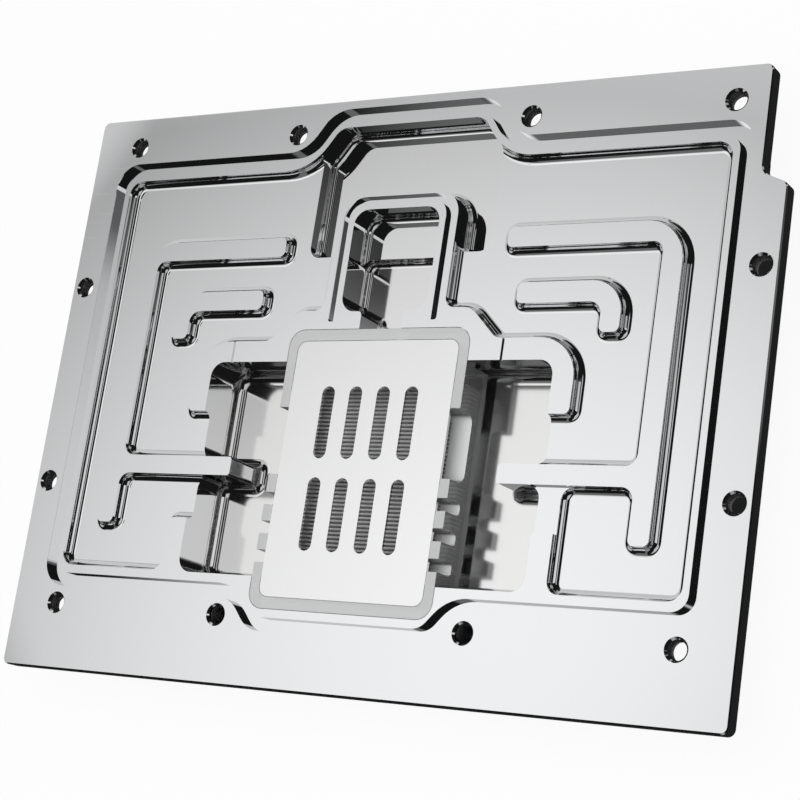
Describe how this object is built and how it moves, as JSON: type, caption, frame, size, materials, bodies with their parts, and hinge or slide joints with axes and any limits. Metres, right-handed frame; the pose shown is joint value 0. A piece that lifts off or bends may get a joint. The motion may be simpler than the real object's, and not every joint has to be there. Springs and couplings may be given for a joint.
{
  "type": "liquid cooling cold plate",
  "caption": "Mirror-nickel cold plate with milled coolant channels, a finned pool over the chip, a clear jet insert and a slotted jet plate.",
  "frame": {"origin": "middle of the plate outline, at the level of the standoff tips that it rests on", "axes": "+X along the long side, +Y towards the port pocket, +Z out of the machined face"},
  "size_m": [0.1498, 0.1112, 0.0145],
  "materials": {
    "nickel_plate": "mirror nickel plating on milled copper",
    "clear_plastic": "clear polished acrylic",
    "polished_steel": "polished stainless sheet"
  },
  "bodies": {
    "root": {"cold_plate": "nickel_plate", "jet_insert": "clear_plastic", "jet_plate": "polished_steel"}
  },
  "joints": []
}
